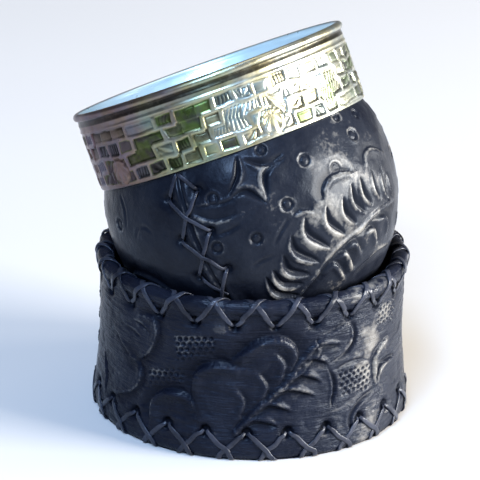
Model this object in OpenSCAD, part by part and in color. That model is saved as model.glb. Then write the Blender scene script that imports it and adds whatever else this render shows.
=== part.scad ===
// Round gourd cup for mate, covered in laced leather, with a metal rim band.
// It leans in a short leather ring stand whose two edges are laced all round.
// Millimetres, +Z up, the stand's foot on Z = 0, the front of the object towards -Y.

/* [Gourd] */
// Radius of the round leather-covered body
ball_r = 43.1; // [34:0.5:56]
// Thickness of the leather cover
cover_t = 2; // [1.4:0.1:3]
// Thickness of the calabash wall
shell_wall = 4.4; // [3:0.1:8]
// Lean of the gourd from upright, in degrees
lean = 25.5; // [0:0.5:35]
// Direction that the gourd leans to, in degrees from +X
lean_heading = 145; // [0:1:360]
// Sideways shift of the gourd where it settled in the ring
ball_shift = -0.6; // [-1.5:0.1:1.5]

/* [Rim band] */
// Outer radius of the metal band
band_r = 40.8; // [32:0.1:52]
// Sheet thickness of the band
band_t = 0.8; // [0.5:0.1:1.5]
// Height of the band's lower edge above the centre of the body
band_low = 16; // [10:0.5:22]
// Height of the lip above the centre of the body
lip_z = 39.4; // [32:0.5:56]
// Radius of the rolled bead at the lip
bead_r = 1.2; // [0.8:0.1:2]
// Depth of the inner sleeve below the lip
sleeve_depth = 17; // [12:0.5:22]
// Inner radius of the sleeve at its throat
throat_r = 35.8; // [26:0.1:46]

/* [Stand] */
// Height of the ring stand without its lacing
stand_h = 48.6; // [38:0.5:60]
// Radius of the ring at the outside of its top roll
stand_r = 46; // [38:0.5:56]
// Radius of the roll along the top edge
roll_r = 2.45; // [2:0.05:3.5]
// Radius of the ring at its waist
waist_r = 45; // [37:0.5:55]
// Radius of the ring at its foot
foot_r = 46.7; // [38:0.5:57]
// Thickness of the lining inside the ring
lining_t = 1.6; // [1:0.1:2.2]

/* [Lacing] */
// Number of stitches round each edge
stitches = 24; // [16:1:30]
// Width of the leather lace
lace_w = 1.5; // [1:0.1:2]
// Thickness of the leather lace
lace_t = 0.6; // [0.4:0.1:1]
// Depth of the upper holes below the top edge
top_hole_depth = 7.5; // [6:0.5:10]
// Height of the lower holes above the foot
low_hole_z = 8.5; // [7:0.5:11]
// Radius of the punched holes in the stand
hole_r = 1.75; // [1.5:0.05:2.4]

/* [Seam of the gourd cover] */
// Direction of the seam round the gourd, in degrees from the front
seam_lon = -21.5; // [-180:0.5:180]
// Angle from the seam to each row of holes
seam_half = 6.7; // [4:0.1:10]
// Angle from one cross of the lacing to the next
seam_pitch = 16.3; // [12:0.1:20]
// Number of whole crosses between the band and the stand
seam_crosses = 2; // [1:1:2]
// Radius of the punched holes in the cover
seam_hole_r = 1.1; // [0.9:0.05:1.4]

/* [Clearances] */
// Glue line between layers that are stuck together
glue = 0.1; // [0.05:0.05:0.3]
// Space between the lace and the leather under it
lace_gap = 0.2; // [0.2:0.05:0.4]
// Space between the gourd and the lacing that it rests on
seat_gap = 0.3; // [0.2:0.05:0.5]

/* [Hidden] */
$fn = 96;

// Gourd: shell, cover and neck
shell_r = ball_r - cover_t - glue;
tuck_r = band_r - band_t - glue;
tuck_t = 0.65;
neck_r = tuck_r - tuck_t - glue;
bead_centre_r = band_r + 0.85 - bead_r;
bead_z = lip_z - bead_r;
cover_top = bead_z - bead_r - 2;
sleeve_in = throat_r;
sleeve_out = throat_r + band_t;
mouth_r = sleeve_out + glue;
flare_z = lip_z - 9;
flare_slope = (bead_centre_r - 0.5 - sleeve_out) / (bead_z - flare_z);
shell_top = lip_z - 6.5;
shell_top_in = mouth_r + 0.3 + flare_slope * (shell_top - flare_z);

// Stand: roll, wall and foot
roll_centre_r = stand_r - roll_r;
roll_z = stand_h - roll_r;
ring_in = roll_centre_r - roll_r;
wall_in = ring_in + lining_t + glue;
under_roll_z = roll_z - 2.3;
under_roll_r = stand_r - 0.9;
waist_z = 27;
bulge_z = 6;
foot_edge = 2;
top_hole_z = stand_h - top_hole_depth;
lining_top = roll_z - roll_r - glue;
lining_low = 1.5;

// Lacing round the stand
pitch = 360 / stitches;
lace_lift = lace_gap + lace_t / 2;
lace_ease = 0.12;
cross_lift = lace_t + 0.15;
hole_side = lace_w / 2 + 0.05;
hole_stack = lace_t / 2 + 0.06;
top_phase = -90 - 6;
foot_phase = -90 - 1;
cross_z = 3.4;
foot_share = 0.67;
notch_depth = lace_gap + lace_t + lace_gap;
notch_w = lace_w + 0.7;

// The gourd rests on the lacing over the top roll, where the ring is nearest
seat_reach = ball_r + roll_r + lace_gap + lace_ease + lace_t + seat_gap;
seat_run = roll_centre_r - abs(ball_shift);
ball_z = roll_z + sqrt(seat_reach * seat_reach - seat_run * seat_run);

// The origin is under the middle of the whole object's box, at the foot
lean_axis = [
    sin(lean) * cos(lean_heading), sin(lean) * sin(lean_heading), cos(lean)
];
lace_reach = foot_r + lace_lift + cross_lift + lace_t / 2;
function lip_far(along) = bead_z * along + bead_centre_r * sqrt(1 - along * along) + bead_r;
box_low_x = min(-lace_reach, ball_shift - lip_far(-lean_axis.x));
box_high_x = max(lace_reach, ball_shift + lip_far(lean_axis.x));
box_low_y = min(-lace_reach, -lip_far(-lean_axis.y));
box_high_y = max(lace_reach, lip_far(lean_axis.y));
middle = [(box_low_x + box_high_x) / 2, (box_low_y + box_high_y) / 2, 0];

// ---- Shared shapes ----

function arc(centre, r, from, to, steps) = [
    for (i = [0 : steps])
        let (a = from + (to - from) * i / steps)
            [centre.x + r * cos(a), centre.y + r * sin(a)]
];

// Moves a piece of the stand into the object's frame
module in_object() { translate(-middle) children(); }

// Moves a piece of the gourd from its own upright frame into the leaning one
module in_gourd() {
    in_object()
        translate([ball_shift, 0, ball_z])
            rotate([0, 0, lean_heading])
                rotate([0, lean, 0])
                    rotate([0, 0, -lean_heading])
                        children();
}

module half_disc(r) {
    intersection() {
        circle(r = r, $fn = 180);
        translate([0, -r]) square([r, 2 * r]);
    }
}

module column(r, low, high) { translate([0, low]) square([r, high - low]); }

// ---- Gourd ----

module gourd_shell() {
    color("burlywood") in_gourd() rotate_extrude() difference() {
        union() {
            intersection() {
                half_disc(shell_r);
                column(shell_r, -shell_r, band_low);
            }
            column(neck_r, 0, shell_top);
        }
        half_disc(shell_r - shell_wall);
        column(mouth_r, 0, lip_z);
        polygon([
            [0, flare_z], [mouth_r + 0.3, flare_z],
            [shell_top_in, shell_top + 0.01], [0, shell_top + 0.01]
        ]);
    }
}

// Direction of a point on the gourd, from its longitude (0 at the front) and latitude
function globe(lon, lat) = [cos(lat) * sin(lon), -cos(lat) * cos(lon), sin(lat)];

// Latitudes of the seam's crosses and holes, from the one nearest the band down
first_cross = 4.6;
function cross_lat(i) = first_cross - seam_pitch * i;
function hole_lat(i) = cross_lat(i) + seam_pitch / 2;

// The topmost arms run up to the band's lower edge, and the lowest ones stop where the
// gourd sinks into the stand
tuck_lat = asin((band_low - lace_w) / ball_r);

// The arms of one hand press on those of the other where they cross
seam_over = lace_t - 0.1;

// The arms at both ends of the seam pass each other by this angle and lie a little higher
seam_pass = 1.3;
seam_ease = 0.06;

module seam_holes(r, low, high) {
    for (i = [0 : seam_crosses], side = [-1, 1])
        let (lon = seam_lon + side * seam_half, lat = hole_lat(i))
            rotate([0, 0, lon - 90])
                rotate([0, 90 - lat, 0])
                    translate([0, 0, low]) cylinder(r = r, h = high - low, $fn = 32);
}

module gourd_cover() {
    color([0.06, 0.07, 0.1]) in_gourd() difference() {
        rotate_extrude() difference() {
            union() {
                intersection() {
                    half_disc(ball_r);
                    column(ball_r, -ball_r, band_low - glue);
                }
                column(tuck_r, 0, cover_top);
            }
            half_disc(shell_r + glue);
            column(neck_r + glue, 0, lip_z);
        }
        seam_holes(seam_hole_r, shell_r - 1, ball_r + 2);
    }
}

// One arm of a cross: a flat strip along the great circle between two holes
module seam_arm(from, to, over) {
    turn = acos(from * to);
    axle = cross(from, to) / sin(turn);
    ahead = cross(axle, from);
    multmatrix([
        [from.x, ahead.x, axle.x, 0],
        [from.y, ahead.y, axle.y, 0],
        [from.z, ahead.z, axle.z, 0],
        [0, 0, 0, 1]
    ])
        rotate_extrude(angle = turn)
            translate([ball_r + lace_gap + over, -lace_w / 2]) square([lace_t, lace_w]);
}

module gourd_seam_lace() {
    color([0.09, 0.09, 0.11]) in_gourd() {
        for (i = [0 : seam_crosses - 1], side = [-1, 1])
            seam_arm(
                globe(seam_lon - side * seam_half, hole_lat(i)),
                globe(seam_lon + side * seam_half, hole_lat(i + 1)),
                side < 0 ? 0 : seam_over
            );
        for (side = [-1, 1], end = [[0, tuck_lat], [seam_crosses, cross_lat(seam_crosses)]])
            seam_arm(
                globe(seam_lon + side * seam_half, hole_lat(end[0])),
                globe(seam_lon - side * seam_pass, end[1]),
                side < 0 ? seam_ease : seam_over + seam_ease
            );
        seam_holes(seam_hole_r - 0.15, shell_r + 3 * glue, ball_r + lace_gap + lace_t + seam_over / 2);
    }
}

// Sheet metal hooked over the lip: band outside, rolled bead, flared sleeve inside
module rim_band() {
    color([0.8, 0.8, 0.74]) in_gourd() rotate_extrude() {
        translate([band_r - band_t, band_low]) square([band_t, bead_z - band_low]);
        translate([bead_centre_r, bead_z]) circle(r = bead_r, $fn = 48);
        polygon([
            [sleeve_in, lip_z - sleeve_depth], [sleeve_out, lip_z - sleeve_depth],
            [sleeve_out, flare_z], [bead_centre_r - 0.5, bead_z - 0.5],
            [bead_centre_r - 0.5, bead_z + 0.5], [sleeve_in, flare_z + 0.3]
        ]);
    }
}

// ---- Stand ----

// Outer radius of the ring between its foot and the crease under the roll
function ring_out(z) =
    z < waist_z
        ? waist_r + (foot_r - waist_r) * pow((waist_z - z) / (waist_z - bulge_z), 2)
        : waist_r + (under_roll_r - waist_r) * pow((z - waist_z) / (under_roll_z - waist_z), 2);

// Turns at which the roll's curve starts at the lining and ends in the crease outside
roll_from = 360 - acos((wall_in - roll_centre_r) / roll_r);
roll_to = -acos((under_roll_r - roll_centre_r) / roll_r);
wall_steps = 9;
wall_side = [
    for (i = [0 : wall_steps])
        let (z = under_roll_z + (bulge_z - under_roll_z) * i / wall_steps)
            [ring_out(z), z]
];

module top_holes(r) {
    for (i = [0 : stitches - 1])
        rotate([0, 0, top_phase + i * pitch])
            translate([ring_in - 2, 0, top_hole_z])
                rotate([0, 90, 0]) cylinder(r = r, h = stand_r - ring_in + 4, $fn = 32);
}

module foot_holes(r) {
    for (i = [0 : stitches - 1])
        rotate([0, 0, foot_phase + i * pitch])
            translate([ring_in - 2, 0, low_hole_z])
                rotate([0, 90, 0]) cylinder(r = r, h = foot_r - ring_in + 4, $fn = 32);
}

// Notches under the foot where the lace bites into the leather's edge
module foot_notches() {
    for (i = [0 : stitches - 1], turn = [1 - foot_share, foot_share])
        rotate([0, 0, foot_phase + (i + turn) * pitch])
            translate([ring_in - 2, -notch_w / 2, -1])
                cube([foot_r - ring_in + 4, notch_w, 1 + notch_depth]);
}

module stand_wall() {
    color([0.05, 0.06, 0.08]) in_object() difference() {
        rotate_extrude()
            polygon(concat(
                arc([roll_centre_r, roll_z], roll_r, roll_from, roll_to, 24),
                wall_side,
                arc([foot_r - foot_edge, foot_edge], foot_edge, 0, -90, 6),
                [[wall_in, 0]]
            ));
        top_holes(hole_r);
        foot_holes(hole_r);
        foot_notches();
    }
}

module stand_lining() {
    color([0.16, 0.14, 0.13]) in_object() difference() {
        rotate_extrude()
            translate([ring_in, lining_low]) square([lining_t, lining_top - lining_low]);
        top_holes(hole_r);
        foot_holes(hole_r);
    }
}

// ---- Lacing of the stand ----

// Route of one strand over an edge, from the outer mouth of a hole to the inner mouth of
// the next. Each station is [radius, height, share of the pitch covered so far]. The
// strand stands off by `over` where it crosses above the strand of the other hand.
function top_route(over) = concat(
    [
        [ring_out(top_hole_z) + lace_lift, top_hole_z, 0],
        [stand_r + lace_lift - lace_ease, under_roll_z, 0.2]
    ],
    [
        for (i = [0 : 4])
            let (
                turn = 10 + 40 * i,
                off = roll_r + lace_lift + lace_ease + over * [0.85, 1, 0.85, 0, 0][i]
            )
                [
                    roll_centre_r + off * cos(turn),
                    roll_z + off * sin(turn),
                    [0.36, 0.5, 0.64, 0.76, 0.86][i]
                ]
    ],
    [
        [ring_in - lace_lift, roll_z - roll_r - 1.5, 0.95],
        [ring_in - lace_lift, top_hole_z, 1]
    ]
);

function foot_route(over) = [
    [ring_out(low_hole_z) + lace_lift + 2 * lace_ease, low_hole_z, 0],
    [foot_r + lace_lift + 0.85 * over, bulge_z - 0.6, 0.3],
    [foot_r + lace_lift + over, cross_z, 0.5],
    [foot_r + lace_lift + 0.7 * over, foot_edge, 0.6],
    [foot_r + lace_lift, lace_lift, foot_share],
    [ring_in - lace_lift, lace_lift, foot_share],
    [ring_in - lace_lift, lining_low + 1.5, foot_share + 0.1],
    [ring_in - lace_lift, low_hole_z, 1]
];

// Centre of the strand at one station. In a hole the two strands lie above each other
// and swap sides, so each comes out on the side that it goes to.
function strand_point(route, phase, hand, stitch, j) =
    let (
        at = route[j],
        in_hole = j == 0 || j == len(route) - 1,
        side = hand * hole_side * (1 - 2 * at[2]) * 180 / (PI * at[0]),
        a = phase + hand * pitch * (stitch + at[2]) + side
    )
        [at[0] * cos(a), at[0] * sin(a), at[1] + (in_hole ? hand * hole_stack : 0)];

// The four corners of a flat strip's section, its width along the ring
function strip_section(before, here, after) =
    let (
        ahead = (after - before) / norm(after - before),
        along = [-here.y, here.x, 0] / norm([here.x, here.y]),
        across = along - (along * ahead) * ahead,
        w = across / norm(across) * lace_w / 2,
        n = cross(ahead, w) / (lace_w / 2) * lace_t / 2
    )
        [here + w + n, here - w + n, here - w - n, here + w - n];

module strand(route, phase, hand) {
    stations = len(route);
    count = stitches * stations;
    line = [
        for (i = [0 : stitches - 1], j = [0 : stations - 1])
            strand_point(route, phase, hand, i, j)
    ];
    points = [
        for (k = [0 : count - 1])
            each strip_section(line[(k + count - 1) % count], line[k], line[(k + 1) % count])
    ];
    faces = [
        for (k = [0 : count - 1], c = [0 : 3])
            let (
                here = 4 * k,
                next = 4 * ((k + 1) % count),
                d = (c + 1) % 4
            )
                each [
                    [here + c, next + c, next + d],
                    [here + c, next + d, here + d]
                ]
    ];
    polyhedron(points = points, faces = faces);
}

module stand_top_lace() {
    color([0.08, 0.08, 0.1]) in_object() {
        strand(top_route(cross_lift), top_phase, 1);
        strand(top_route(0), top_phase, -1);
    }
}

module stand_foot_lace() {
    color([0.08, 0.08, 0.1]) in_object() {
        strand(foot_route(cross_lift), foot_phase, 1);
        strand(foot_route(0), foot_phase, -1);
    }
}

gourd_shell();
gourd_cover();
gourd_seam_lace();
rim_band();
stand_wall();
stand_lining();
stand_top_lace();
stand_foot_lace();
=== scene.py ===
"""Looks of the leather-covered mate gourd leaning in its laced ring stand.

Lengths are in millimetres until a mesh is made. The gourd's own frame is upright, with longitude 0
at the front and growing to the right; leaned() moves it into the row frame.
"""

from math import acos, cos, degrees, pi, radians, sin

import bpy
import numpy as np
from mathutils import Matrix, Vector


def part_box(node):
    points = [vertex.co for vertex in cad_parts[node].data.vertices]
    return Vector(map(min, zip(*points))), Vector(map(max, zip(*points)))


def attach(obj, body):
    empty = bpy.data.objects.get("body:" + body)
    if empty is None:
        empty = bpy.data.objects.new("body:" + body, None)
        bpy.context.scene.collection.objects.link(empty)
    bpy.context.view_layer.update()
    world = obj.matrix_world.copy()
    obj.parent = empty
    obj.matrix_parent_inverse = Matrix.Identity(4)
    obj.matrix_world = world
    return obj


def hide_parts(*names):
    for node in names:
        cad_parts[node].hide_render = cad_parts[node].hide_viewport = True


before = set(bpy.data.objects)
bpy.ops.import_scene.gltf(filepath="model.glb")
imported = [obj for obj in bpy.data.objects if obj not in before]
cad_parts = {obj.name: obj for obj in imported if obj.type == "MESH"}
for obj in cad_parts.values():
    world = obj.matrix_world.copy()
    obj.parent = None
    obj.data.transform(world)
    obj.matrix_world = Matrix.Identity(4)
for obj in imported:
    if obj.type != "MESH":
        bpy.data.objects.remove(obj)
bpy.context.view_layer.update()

MM = 0.001

# ---- Sizes that part.scad settles, and places read from the frame ----

BALL_R = 43.1
COVER_T = 2.0
LEAN = radians(25.5)
LEAN_HEADING = radians(145)
BAND_R, BAND_T, BAND_LOW = 40.8, 0.8, 16.0
LIP_Z, BEAD_R = 39.4, 1.2
SLEEVE_R, SLEEVE_LOW = 35.8, 22.4
TUCK_R = 39.9
SEAM_LON, SEAM_HALF, SEAM_PITCH, FIRST_CROSS = -21.5, 6.7, 16.3, 4.6
STAND_H, STAND_R, ROLL_R = 48.6, 46.0, 2.45
WAIST_R, WAIST_Z, FOOT_R, BULGE_Z, FOOT_EDGE = 45.0, 27.0, 46.7, 6.0, 2.0
WALL_IN, RING_IN = 42.8, 41.1
ROLL_C, ROLL_Z = STAND_R - ROLL_R, STAND_H - ROLL_R
UNDER_R, UNDER_Z = STAND_R - 0.9, ROLL_Z - 2.3
STITCHES, PITCH = 24, 15.0
TOP_HOLE_Z, LOW_HOLE_Z = 41.1, 8.5
TOP_PHASE, FOOT_PHASE = -96.0, -91.0


def box_mm(node):
    """Corners of a CAD node in millimetres."""
    low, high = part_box(node)
    return np.array(low) / MM, np.array(high) / MM


wall_low, wall_high = box_mm("stand_wall")
AXIS = np.array([*(wall_low + wall_high)[:2] / 2, 0.0])
cover_low, cover_high = box_mm("gourd_cover")
BALL = np.array([cover_high[0] - BALL_R, cover_low[1] + BALL_R, cover_low[2] + BALL_R])


def turn_z(a):
    return np.array([[cos(a), -sin(a), 0], [sin(a), cos(a), 0], [0, 0, 1]])


def turn_y(a):
    return np.array([[cos(a), 0, sin(a)], [0, 1, 0], [-sin(a), 0, cos(a)]])


LEAN_TURN = turn_z(LEAN_HEADING) @ turn_y(LEAN) @ turn_z(-LEAN_HEADING)


def leaned(points):
    """From the gourd's upright frame to the row frame."""
    return points @ LEAN_TURN.T + BALL


def on_stand(points):
    """From the stand's own frame to the row frame."""
    return points + AXIS


# ---- Small numeric helpers ----


def unit(v):
    return v / np.maximum(np.linalg.norm(v, axis=-1, keepdims=True), 1e-9)


def ease(x):
    x = np.clip(x, 0, 1)
    return x * x * (3 - 2 * x)


def bell(x, width):
    """1 where x is 0, falling away on both sides over about width."""
    return np.exp(-((x / width) ** 2))


def around(lon, r, z):
    """Points at longitude lon (degrees, 0 in front), radius r and height z."""
    a = np.radians(lon)
    return np.stack(np.broadcast_arrays(r * np.sin(a), -r * np.cos(a), z), -1).astype(float)


def globe(lon, lat, r=BALL_R):
    b = np.radians(lat)
    return around(lon, r * np.cos(b), r * np.sin(b))


def curve(knots, count=22):
    """A smooth line through the knots (Catmull-Rom), as count points."""
    k = np.array(knots, float)
    k = np.vstack([2 * k[0] - k[1], k, 2 * k[-1] - k[-2]])
    t = np.linspace(0, len(k) - 3 - 1e-9, count)
    i = t.astype(int)
    f = (t - i)[:, None]
    a, b, c, d = k[i], k[i + 1], k[i + 2], k[i + 3]
    return 0.5 * (
        2 * b + (c - a) * f + (2 * a - 5 * b + 4 * c - d) * f**2 + (3 * b - a - 3 * c + d) * f**3
    )


def noise(turns, rows, cells, seed):
    """Smooth noise from -1 to 1. turns runs 0 to 1 round the object and joins up; rows is free."""
    rng = np.random.default_rng(seed)
    low = np.floor(rows.min())
    height = int(rows.max() - low) + 3
    table = rng.uniform(-1, 1, (height, cells))
    u, v = (turns % 1) * cells, rows - low
    i, j = u.astype(int), v.astype(int)
    fu, fv = ease(u - i), ease(v - j)
    i1 = (i + 1) % cells
    i = i % cells
    top = table[j, i] * (1 - fu) + table[j, i1] * fu
    low_row = table[j + 1, i] * (1 - fu) + table[j + 1, i1] * fu
    return top * (1 - fv) + low_row * fv


def spread_columns(count, closeness=0.2):
    """Longitudes of a mesh's columns, closer together on the side that the camera sees."""
    u = np.arange(count) / count
    return np.degrees(2 * pi * u - closeness * np.sin(2 * pi * u))


def arc(centre, r, start, end, steps):
    a = np.radians(np.linspace(start, end, steps + 1))
    return [(centre[0] + r * cos(t), centre[1] + r * sin(t)) for t in a]


# ---- Relief worked into a surface of revolution ----


class Skin:
    """A grid of points round an axis, and the marks pressed into it or raised on it."""

    def __init__(self, lon, profile):
        r, z = profile[:, 0][:, None], profile[:, 1][:, None]
        self.lon = np.broadcast_to(lon[None, :], (len(profile), len(lon)))
        self.z = np.broadcast_to(z, self.lon.shape)
        self.r = np.broadcast_to(r, self.lon.shape)
        self.base = around(self.lon, self.r, self.z)
        ahead = np.gradient(profile, axis=0)
        side = np.stack([ahead[:, 1], -ahead[:, 0]], -1)
        side = unit(side)
        self.normal = around(self.lon, side[:, :1], side[:, 1:])
        self.pressed = np.zeros(self.lon.shape)
        self.raised = np.zeros(self.lon.shape)
        self.wear_and_painted_light = np.zeros(self.lon.shape)

    def near(self, path, reach):
        """Indices of the points near a path, with distance, side (+ left) and share along it."""
        low, high = path.min(0) - reach, path.max(0) + reach
        rows, cols = np.nonzero(((self.base > low) & (self.base < high)).all(-1))
        if len(rows) == 0:
            return (rows, cols), *[np.zeros(0)] * 3
        p, n = self.base[rows, cols], self.normal[rows, cols]
        a, ab = path[:-1], path[1:] - path[:-1]
        length = np.linalg.norm(ab, axis=1)
        t = np.clip(((p[:, None] - a) * ab).sum(-1) / np.maximum(length**2, 1e-9), 0, 1)
        gap = p[:, None] - (a + t[..., None] * ab)
        d = np.linalg.norm(gap, axis=-1)
        best = d.argmin(1)
        pick = np.arange(len(p))
        start = np.concatenate([[0], np.cumsum(length)])
        share = (start[best] + t[pick, best] * length[best]) / start[-1]
        left = np.sign((gap[pick, best] * np.cross(n, ab[best])).sum(-1))
        return (rows, cols), d[pick, best], left, share

    def press(self, where, depth):
        self.pressed[where] = np.maximum(self.pressed[where], depth)

    def lift(self, where, height):
        self.raised[where] = np.maximum(self.raised[where], height)

    def wear_and_painted_highlight(self, where, amount):
        self.wear_and_painted_light[where] = np.maximum(self.wear_and_painted_light[where], amount)

    def cut(self, path, width=1.0, depth=0.9, bevel=1, ridge=0.3, sharp=0.35, taper=0.6,
            reach=1.25):
        """A knife cut that swells in the middle: steep on one side, bevelled on the other."""
        where, d, left, share = self.near(path, (1.9 + reach) * width)
        if not len(d):
            return
        swell = np.sin(pi * np.clip(share, 0.001, 0.999)) ** taper
        w = width * np.maximum(swell, 0.05)
        x = d / w
        gentle = left * bevel > 0
        slope = 0.7 * ease(1 - x / 1.1) + 0.3 * ease(1 - x / reach)
        shape = np.where(gentle, slope, ease(1 - x / sharp))
        self.press(where, depth * swell * shape)
        if ridge:
            rise = bell(x - 0.75, 0.42) * ~gentle
            self.lift(where, ridge * swell * rise)
            self.wear_and_painted_highlight(where, 0.9 * swell * rise)

    def groove(self, path, width=0.5, depth=0.5, taper=0.3, lips=0.0):
        where, d, _, share = self.near(path, 4 * width)
        if not len(d):
            return
        swell = np.sin(pi * np.clip(share, 0.001, 0.999)) ** taper
        self.press(where, depth * swell * bell(d, width))
        if lips:
            self.lift(where, lips * swell * bell(d - 1.9 * width, width))

    def edge(self, path, side=1, depth=0.7, reach=3.0, bulge=0.3, taper=0.35, soft=1.0):
        """The rim of a raised shape: the leather beyond it is pressed down and rises again."""
        where, d, left, share = self.near(path, 1.8 * reach)
        if not len(d):
            return
        swell = np.sin(pi * np.clip(share, 0.001, 0.999)) ** taper
        outside = left * side > 0
        drop = ease(d / 0.45) * np.exp(-((d / reach) ** 1.5))
        self.press(where, np.where(outside, depth * swell * drop, 0))
        inside = np.where(outside, 0, bulge * swell * bell(d - 0.8 * soft, 1.1 * soft))
        self.lift(where, inside)
        self.wear_and_painted_highlight(where, np.where(outside, 0, 0.8 * swell * bell(d, 0.9)))

    def dot(self, centre, r=1.5, depth=0.6):
        """A ring pressed by a round tool: a groove round a slightly sunk disc, and a low lip."""
        d = np.linalg.norm(self.base - centre, axis=-1)
        where = np.nonzero(d < r * 2.6)
        d = d[where]
        self.press(where, depth * bell(d - r, 0.42))
        self.press(where, 0.25 * depth * (d < r))
        self.lift(where, 0.18 * bell(d - r * 1.6, 0.4))
        self.wear_and_painted_highlight(where, 0.7 * bell(d - r * 1.55, 0.35))

    def pit(self, centre, r, depth, pucker=0.3):
        """A punched hole that the lace has pulled in."""
        d = np.linalg.norm(self.base - centre, axis=-1)
        where = np.nonzero(d < r * 3)
        d = d[where]
        self.press(where, depth * ease((r + 0.25 - d) / 0.5))
        self.press(where, pucker * bell(np.maximum(d - r, 0), 1.2))

    def surface(self, ground=0.0):
        """The worked points; ground is a height that is there all over."""
        height = ground + self.raised - self.pressed
        return self.base + self.normal * height[..., None]


# ---- Meshes ----


def as_mesh(name, points, faces, marks=None):
    """A smooth-shaded mesh object from points in millimetres, with marks as point attributes."""
    points = np.asarray(points, float)
    mesh = bpy.data.meshes.new(name)
    mesh.from_pydata((points * MM).tolist(), [], faces)
    mesh.validate()
    mesh.update()
    for polygon in mesh.polygons:
        polygon.use_smooth = True
    for mark, values in (marks or {}).items():
        layer = mesh.attributes.new(mark, "FLOAT", "POINT")
        layer.data.foreach_set("value", np.asarray(values, np.float32).ravel())
    obj = bpy.data.objects.new(name, mesh)
    bpy.context.collection.objects.link(obj)
    return obj


def revolved_mesh(name, points, marks=None, loop=False, capped=False):
    """A mesh from rows of points round an axis. loop joins the last row to the first; capped
    closes both ends on the axis."""
    rows, cols = points.shape[:2]
    r = np.arange(rows if loop else rows - 1)[:, None]
    c = np.arange(cols)[None, :]
    r2, c2 = (r + 1) % rows, (c + 1) % cols
    quads = np.stack([r * cols + c, r * cols + c2, r2 * cols + c2, r2 * cols + c], -1)
    faces = quads.reshape(-1, 4).tolist()
    flat = points.reshape(-1, 3)
    marks = {mark: values.ravel() for mark, values in (marks or {}).items()}
    if capped:
        for row in (0, rows - 1):
            flat = np.vstack([flat, points[row].mean(0)])
            marks = {mark: np.append(values, 0) for mark, values in marks.items()}
            k = len(flat) - 1
            ring = [(row * cols + i, row * cols + (i + 1) % cols) for i in range(cols)]
            faces += [(a, b, k) if row else (b, a, k) for a, b in ring]
    return as_mesh(name, flat, faces, marks)


def strip_mesh(name, lines, width, thick, corners=8):
    """Flat rounded strips with capped ends. Each line is (points, face normals, taper)."""
    all_points, faces = [], []
    angle = np.radians(np.arange(corners) * 360 / corners + 180 / corners)
    flat = 0.55
    across = np.sign(np.cos(angle)) * np.abs(np.cos(angle)) ** flat * width / 2
    up = np.sign(np.sin(angle)) * np.abs(np.sin(angle)) ** flat * thick / 2
    for line, normal, size in lines:
        n = len(line)
        ahead = unit(np.gradient(line, axis=0))
        side = unit(np.cross(ahead, normal))
        face = np.cross(side, ahead)
        ring = (
            line[:, None]
            + side[:, None] * (across[None, :, None] * size[:, None, None])
            + face[:, None] * (up[None, :, None] * size[:, None, None] ** 0.5)
        )
        start = sum(len(p) for p in all_points)
        all_points.append(ring.reshape(-1, 3))
        for here in range(start, start + (n - 1) * corners, corners):
            for c in range(corners):
                d = (c + 1) % corners
                faces.append((here + c, here + d, here + corners + d, here + corners + c))
        faces.append(tuple(start + c for c in reversed(range(corners))))
        faces.append(tuple(start + (n - 1) * corners + c for c in range(corners)))
    return as_mesh(name, np.vstack(all_points), faces)


# ---- Gourd: tooled leather cover ----

GOURD_COLUMNS = 590
gourd_lon = spread_columns(GOURD_COLUMNS)
fine_lat = np.arange(-54, 21.41, 0.53)
coarse_lat = np.array([-88, -84, -80, -76, -72, -68, -65, -62, -60, -58, -56.5, -55.2])
outside = [(BALL_R * cos(radians(b)), BALL_R * sin(radians(b)))
           for b in [*coarse_lat, *fine_lat]]
COVER_IN = BALL_R - COVER_T
tucked = [(TUCK_R, 16.4), (TUCK_R, 20), (TUCK_R, 34.6), (TUCK_R - 0.6, 34.8), (TUCK_R - 0.6, 20)]
tuck_corner = [(40.1, 15.9)]
inside = [(COVER_IN * cos(radians(b)), COVER_IN * sin(radians(b)))
          for b in [16, 8, 0, -10, -20, -32, -44, -56, -68, -80, -88]]
cover_profile = np.array(outside + tuck_corner + tucked + inside)
gourd = Skin(gourd_lon, cover_profile)
gourd_lat = np.degrees(np.arctan2(gourd.z, gourd.r))
is_outside = np.arange(len(cover_profile))[:, None] < len(outside) + 0 * gourd.lon


def sphere_line(*knots, count=22):
    """A line on the gourd through (longitude, latitude) knots."""
    line = curve(knots, count)
    return globe(line[:, 0], line[:, 1])


def turned(maker, turn):
    """A maker of lines whose longitudes count from turn."""

    def line(*knots, count=22):
        return maker(*[(a + turn, b) for a, b in knots], count=count)

    return line


def star(turn):
    """Four knife cuts that leave a curved four-pointed star standing between them."""
    line = turned(sphere_line, turn)
    gourd.cut(line((4.4, 20.5), (2.2, 13), (-3.6, 6.9)), 1.5, 1.0, bevel=-1, ridge=0.3)
    gourd.cut(line((6, 18.2), (13.5, 13.2), (22, 14.8)), 1.7, 1.1, bevel=1, ridge=0.3)
    gourd.cut(line((21.6, 13.4), (12, 10.6), (9.6, 0.6)), 1.6, 1.1, bevel=1, ridge=0.35)
    gourd.cut(line((-3.8, 6), (3.4, 6.8), (9.2, -0.6)), 1.7, 1.1, bevel=-1, ridge=0.3)


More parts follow.
